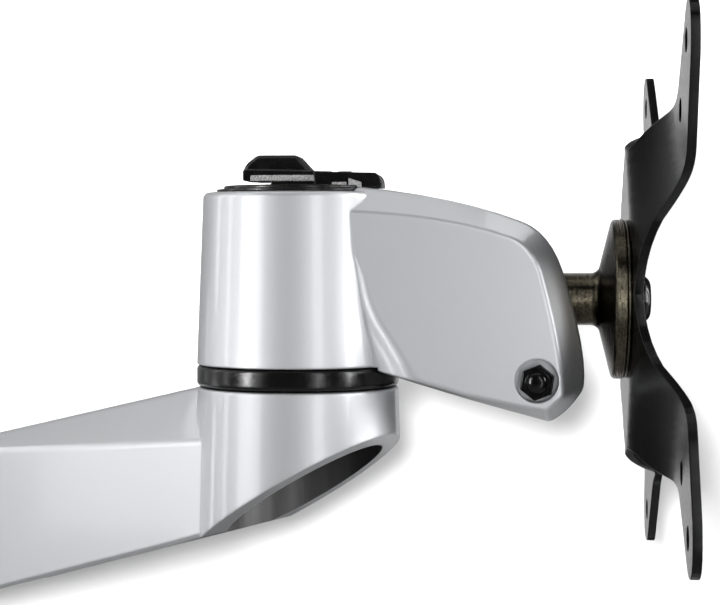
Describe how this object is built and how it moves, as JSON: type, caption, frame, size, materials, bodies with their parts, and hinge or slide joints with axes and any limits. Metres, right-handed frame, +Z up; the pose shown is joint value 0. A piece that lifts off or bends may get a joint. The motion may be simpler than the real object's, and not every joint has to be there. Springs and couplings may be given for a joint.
{
  "type": "full motion tv wall mount",
  "caption": "Full motion wall mount for a flat screen: swivel arms on a wall plate, a tilting head with a cable latch, and a bent screen plate that turns.",
  "frame": {"origin": "centre of the wall plate's back face, on the wall", "axes": "+X from the wall to the screen, +Z up, arms folded towards +Y at rest"},
  "size_m": [0.439, 0.1586, 0.195],
  "materials": {
    "silver_casting": "die casting with satin silver paint, fine metallic flake",
    "black_powder_steel": "stamped steel, satin black powder coat",
    "dark_nickel": "cast steel, black nickel plated, slightly grainy, glossy",
    "black_steel": "black oxide, glossy",
    "zinc_steel": "zinc plated",
    "black_plastic": "moulded, semi gloss",
    "ring_plastic": "moulded acetal, lightly textured",
    "nylon": "natural nylon"
  },
  "bodies": {
    "wall": {"wall_plate": "black_powder_steel", "wall_bracket": "silver_casting", "wall_cover_upper": "black_plastic", "wall_cover_lower": "black_plastic", "bracket_screw_1": "black_steel", "bracket_screw_2": "black_steel", "bracket_screw_3": "black_steel", "bracket_screw_4": "black_steel", "wall_pivot_bolt": "zinc_steel", "wall_pivot_nut": "zinc_steel", "wall_pivot_washer_lower": "zinc_steel", "wall_pivot_bush_lower": "nylon", "wall_pivot_ring": "ring_plastic"},
    "inner_arm": {"inner_arm": "silver_casting", "wall_pivot_washer_upper": "zinc_steel", "wall_pivot_bush_upper": "nylon", "wall_pivot_gasket": "black_plastic", "wall_pivot_cap": "black_plastic", "elbow_pivot_washer_upper": "zinc_steel", "elbow_pivot_bush_upper": "nylon", "elbow_pivot_gasket": "black_plastic", "elbow_pivot_cap": "black_plastic"},
    "outer_arm": {"outer_arm": "silver_casting", "elbow_pivot_bolt": "zinc_steel", "elbow_pivot_nut": "zinc_steel", "elbow_pivot_washer_lower": "zinc_steel", "elbow_pivot_bush_lower": "nylon", "elbow_pivot_ring": "ring_plastic", "head_pivot_bolt": "zinc_steel", "head_pivot_nut": "zinc_steel", "head_pivot_washer_lower": "zinc_steel", "head_pivot_bush_lower": "nylon", "head_pivot_ring": "ring_plastic"},
    "head": {"head_casting": "silver_casting", "head_pivot_washer_upper": "zinc_steel", "head_pivot_bush_upper": "nylon", "head_cap_gasket": "black_plastic", "head_cap": "black_plastic", "latch_pin": "zinc_steel", "tilt_bolt": "black_steel", "tilt_nut": "black_steel", "tilt_washer_near": "zinc_steel", "tilt_washer_far": "zinc_steel"},
    "latch": {"cable_latch": "black_plastic"},
    "tilt": {"tilt_knuckle": "dark_nickel", "tilt_bush": "nylon", "friction_disc": "dark_nickel", "plate_bolt": "black_steel"},
    "screen_plate": {"screen_plate": "black_powder_steel", "plate_washer": "black_steel"}
  },
  "joints": [
    {"name": "wall_swivel", "type": "hinge", "parent": "wall", "child": "inner_arm", "pos_m": [0.046, 0, -0.01], "axis": [0, 0, 1], "range_deg": [-115, 65]},
    {"name": "elbow_swivel", "type": "hinge", "parent": "inner_arm", "child": "outer_arm", "pos_m": [0.20007, 0.07185, -0.01], "axis": [0, 0, -1], "range_deg": [-200, 100]},
    {"name": "head_swivel", "type": "hinge", "parent": "outer_arm", "child": "head", "pos_m": [0.35414, 0, 0.01], "axis": [0, 0, 1], "range_deg": [-115, 65]},
    {"name": "head_tilt", "type": "hinge", "parent": "head", "child": "tilt", "pos_m": [0.40795, 0, 0.0124], "axis": [0, 1, 0], "range_deg": [-5, 15]},
    {"name": "plate_turn", "type": "hinge", "parent": "tilt", "child": "screen_plate", "pos_m": [0.42874, 0, 0.0298], "axis": [1, 0, 0], "range_deg": [-85.6, 94.4]},
    {"name": "latch_lift", "type": "hinge", "parent": "head", "child": "latch", "pos_m": [0.36434, 0, 0.0571], "axis": [0, 1, 0], "range_deg": [0, 60]}
  ]
}
